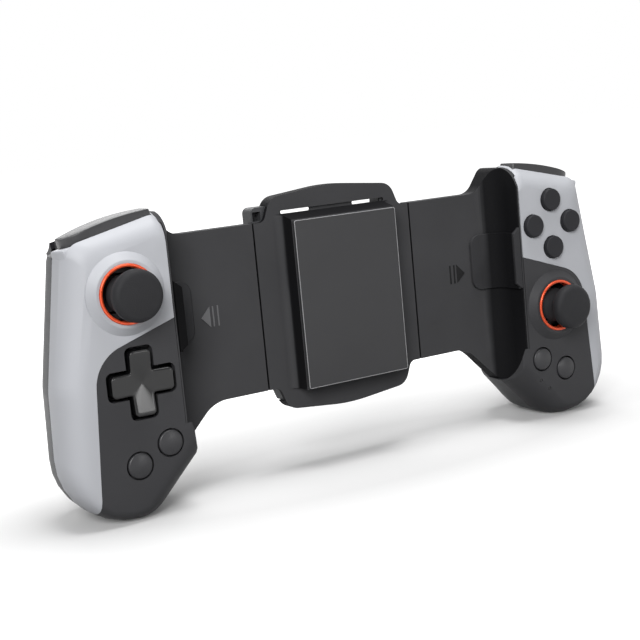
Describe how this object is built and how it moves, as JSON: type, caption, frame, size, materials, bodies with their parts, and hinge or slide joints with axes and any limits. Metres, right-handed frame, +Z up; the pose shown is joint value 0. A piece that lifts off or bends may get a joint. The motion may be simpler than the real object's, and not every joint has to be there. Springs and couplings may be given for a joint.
{
  "type": "telescopic phone game controller",
  "caption": "Stretching game controller: two handles on sprung slide arms grip a phone edge-on against a centre block; tilting sticks, direction pad, push buttons, bumpers and triggers.",
  "frame": {"origin": "on the ground plane under the middle of the part's box: the two handle feet stand on z = 0", "axes": "X across the handles to the player's right, -Y towards the player (the face with the buttons), Z up"},
  "size_m": [0.221, 0.0458, 0.0967],
  "materials": {
    "light_shell": "satin moulded",
    "dark_shell": "fine matte moulded",
    "dark_panel": "satin moulded",
    "arm_plastic": "satin moulded",
    "rest_rubber": "satin rubber",
    "clamp_rubber": "matte rubber",
    "ring_metal": "anodised orange",
    "stick_rubber": "matte rubber",
    "button_plastic": "satin moulded",
    "gimbal_plastic": "natural moulded",
    "steel": "plain steel",
    "board": "solder mask",
    "membrane": "silicone",
    "cell": "film wrap",
    "cable": "polyimide film",
    "light_guide": "clear diffuser"
  },
  "bodies": {
    "centre": {"centre_front_cover": "arm_plastic", "rest_pad": "rest_rubber", "centre_rear_tray": "dark_shell", "centre_screws": "steel", "left_slide_spring": "steel", "right_slide_spring": "steel", "left_flex_cable": "cable", "right_flex_cable": "cable"},
    "left_grip": {"left_slide_arm": "arm_plastic", "left_faceplate": "light_shell", "left_front_panel": "dark_panel", "left_rear_shell": "dark_shell", "left_clamp_pad": "clamp_rubber", "left_stick_ring": "ring_metal", "left_stick_module": "gimbal_plastic", "left_circuit_board": "board", "left_button_membrane": "membrane", "left_rumble_motor": "steel", "left_trigger_pin": "steel", "left_screws": "steel", "battery": "cell", "dpad_post": "gimbal_plastic"},
    "left_stick_rocker": {"left_stick_rocker": "gimbal_plastic"},
    "left_stick_stem": {"left_stick_stem": "steel"},
    "left_stick_cap": {"left_stick_cap": "stick_rubber"},
    "left_bumper": {"left_bumper": "button_plastic"},
    "left_trigger": {"left_trigger": "button_plastic"},
    "left_button_inner": {"left_button_inner": "button_plastic"},
    "left_button_outer": {"left_button_outer": "button_plastic"},
    "right_grip": {"right_slide_arm": "arm_plastic", "right_faceplate": "light_shell", "right_front_panel": "dark_panel", "right_rear_shell": "dark_shell", "right_clamp_pad": "clamp_rubber", "right_stick_ring": "ring_metal", "right_stick_module": "gimbal_plastic", "right_circuit_board": "board", "right_button_membrane": "membrane", "right_rumble_motor": "steel", "right_trigger_pin": "steel", "right_screws": "steel", "charging_socket": "steel", "status_lights": "light_guide"},
    "right_stick_rocker": {"right_stick_rocker": "gimbal_plastic"},
    "right_stick_stem": {"right_stick_stem": "steel"},
    "right_stick_cap": {"right_stick_cap": "stick_rubber"},
    "right_bumper": {"right_bumper": "button_plastic"},
    "right_trigger": {"right_trigger": "button_plastic"},
    "right_button_inner": {"right_button_inner": "button_plastic"},
    "right_button_outer": {"right_button_outer": "button_plastic"},
    "face_button_top": {"face_button_top": "button_plastic"},
    "face_button_left": {"face_button_left": "button_plastic"},
    "face_button_right": {"face_button_right": "button_plastic"},
    "face_button_bottom": {"face_button_bottom": "button_plastic"},
    "dpad_spider": {"dpad_spider": "steel"},
    "dpad": {"dpad": "button_plastic"}
  },
  "joints": [
    {"name": "left_arm_slide", "type": "slide", "parent": "centre", "child": "left_grip", "axis": [-1, 0, 0], "range_m": [0, 0.02], "stiffness_N_per_m": 150, "springref_m": -0.02, "deforming": ["left_slide_spring", "left_flex_cable"]},
    {"name": "left_stick_up_down", "type": "hinge", "parent": "left_grip", "child": "left_stick_rocker", "pos_m": [-0.0855, -0.0041, 0.07195], "axis": [1, 0, 0], "range_deg": [-17, 17], "stiffness_Nm_per_rad": 0.02},
    {"name": "left_stick_left_right", "type": "hinge", "parent": "left_stick_rocker", "child": "left_stick_stem", "pos_m": [-0.0855, -0.0041, 0.07195], "axis": [0, 0, 1], "range_deg": [-17, 17], "stiffness_Nm_per_rad": 0.02},
    {"name": "left_stick_click", "type": "slide", "parent": "left_stick_stem", "child": "left_stick_cap", "axis": [0, 1, 0], "range_m": [0, 0.0006], "stiffness_N_per_m": 2500, "springref_m": -0.0003},
    {"name": "left_bumper_rock", "type": "hinge", "parent": "left_grip", "child": "left_bumper", "pos_m": [-0.07461, -0.0024, 0.09272], "axis": [0, -1, 0], "range_deg": [0, 3.2], "stiffness_Nm_per_rad": 0.3, "springref_deg": -1.72},
    {"name": "left_trigger_pull", "type": "hinge", "parent": "left_grip", "child": "left_trigger", "pos_m": [-0.08736, 0.0063, 0.0897], "axis": [-0.975, 0, -0.2224], "range_deg": [0, 14], "stiffness_Nm_per_rad": 0.06, "springref_deg": -6.88},
    {"name": "left_button_inner_press", "type": "slide", "parent": "left_grip", "child": "left_button_inner", "axis": [0, 1, 0], "range_m": [0, 0.0012], "stiffness_N_per_m": 400, "springref_m": -0.0006},
    {"name": "left_button_outer_press", "type": "slide", "parent": "left_grip", "child": "left_button_outer", "axis": [0, 1, 0], "range_m": [0, 0.0012], "stiffness_N_per_m": 400, "springref_m": -0.0006},
    {"name": "right_arm_slide", "type": "slide", "parent": "centre", "child": "right_grip", "axis": [1, 0, 0], "range_m": [0, 0.02], "stiffness_N_per_m": 150, "springref_m": -0.02, "deforming": ["right_slide_spring", "right_flex_cable"]},
    {"name": "right_stick_up_down", "type": "hinge", "parent": "right_grip", "child": "right_stick_rocker", "pos_m": [0.0841, -0.0041, 0.04265], "axis": [1, 0, 0], "range_deg": [-17, 17], "stiffness_Nm_per_rad": 0.02},
    {"name": "right_stick_left_right", "type": "hinge", "parent": "right_stick_rocker", "child": "right_stick_stem", "pos_m": [0.0841, -0.0041, 0.04265], "axis": [0, 0, 1], "range_deg": [-17, 17], "stiffness_Nm_per_rad": 0.02},
    {"name": "right_stick_click", "type": "slide", "parent": "right_stick_stem", "child": "right_stick_cap", "axis": [0, 1, 0], "range_m": [0, 0.0006], "stiffness_N_per_m": 2500, "springref_m": -0.0003},
    {"name": "right_bumper_rock", "type": "hinge", "parent": "right_grip", "child": "right_bumper", "pos_m": [0.07461, -0.0024, 0.09272], "axis": [0, 1, 0], "range_deg": [0, 3.2], "stiffness_Nm_per_rad": 0.3, "springref_deg": -1.72},
    {"name": "right_trigger_pull", "type": "hinge", "parent": "right_grip", "child": "right_trigger", "pos_m": [0.08736, 0.0063, 0.0897], "axis": [-0.975, 0, 0.2224], "range_deg": [0, 14], "stiffness_Nm_per_rad": 0.06, "springref_deg": -6.88},
    {"name": "right_button_inner_press", "type": "slide", "parent": "right_grip", "child": "right_button_inner", "axis": [0, 1, 0], "range_m": [0, 0.0012], "stiffness_N_per_m": 400, "springref_m": -0.0006},
    {"name": "right_button_outer_press", "type": "slide", "parent": "right_grip", "child": "right_button_outer", "axis": [0, 1, 0], "range_m": [0, 0.0012], "stiffness_N_per_m": 400, "springref_m": -0.0006},
    {"name": "face_button_top_press", "type": "slide", "parent": "right_grip", "child": "face_button_top", "axis": [0, 1, 0], "range_m": [0, 0.0012], "stiffness_N_per_m": 400, "springref_m": -0.0006},
    {"name": "face_button_left_press", "type": "slide", "parent": "right_grip", "child": "face_button_left", "axis": [0, 1, 0], "range_m": [0, 0.0012], "stiffness_N_per_m": 400, "springref_m": -0.0006},
    {"name": "face_button_right_press", "type": "slide", "parent": "right_grip", "child": "face_button_right", "axis": [0, 1, 0], "range_m": [0, 0.0012], "stiffness_N_per_m": 400, "springref_m": -0.0006},
    {"name": "face_button_bottom_press", "type": "slide", "parent": "right_grip", "child": "face_button_bottom", "axis": [0, 1, 0], "range_m": [0, 0.0012], "stiffness_N_per_m": 400, "springref_m": -0.0006},
    {"name": "dpad_up_down", "type": "hinge", "parent": "left_grip", "child": "dpad_spider", "pos_m": [-0.0836, -0.0051, 0.04385], "axis": [1, 0, 0], "range_deg": [-4.5, 4.5], "stiffness_Nm_per_rad": 0.1},
    {"name": "dpad_left_right", "type": "hinge", "parent": "dpad_spider", "child": "dpad", "pos_m": [-0.0836, -0.0051, 0.04385], "axis": [0, 0, 1], "range_deg": [-4.5, 4.5], "stiffness_Nm_per_rad": 0.1}
  ]
}
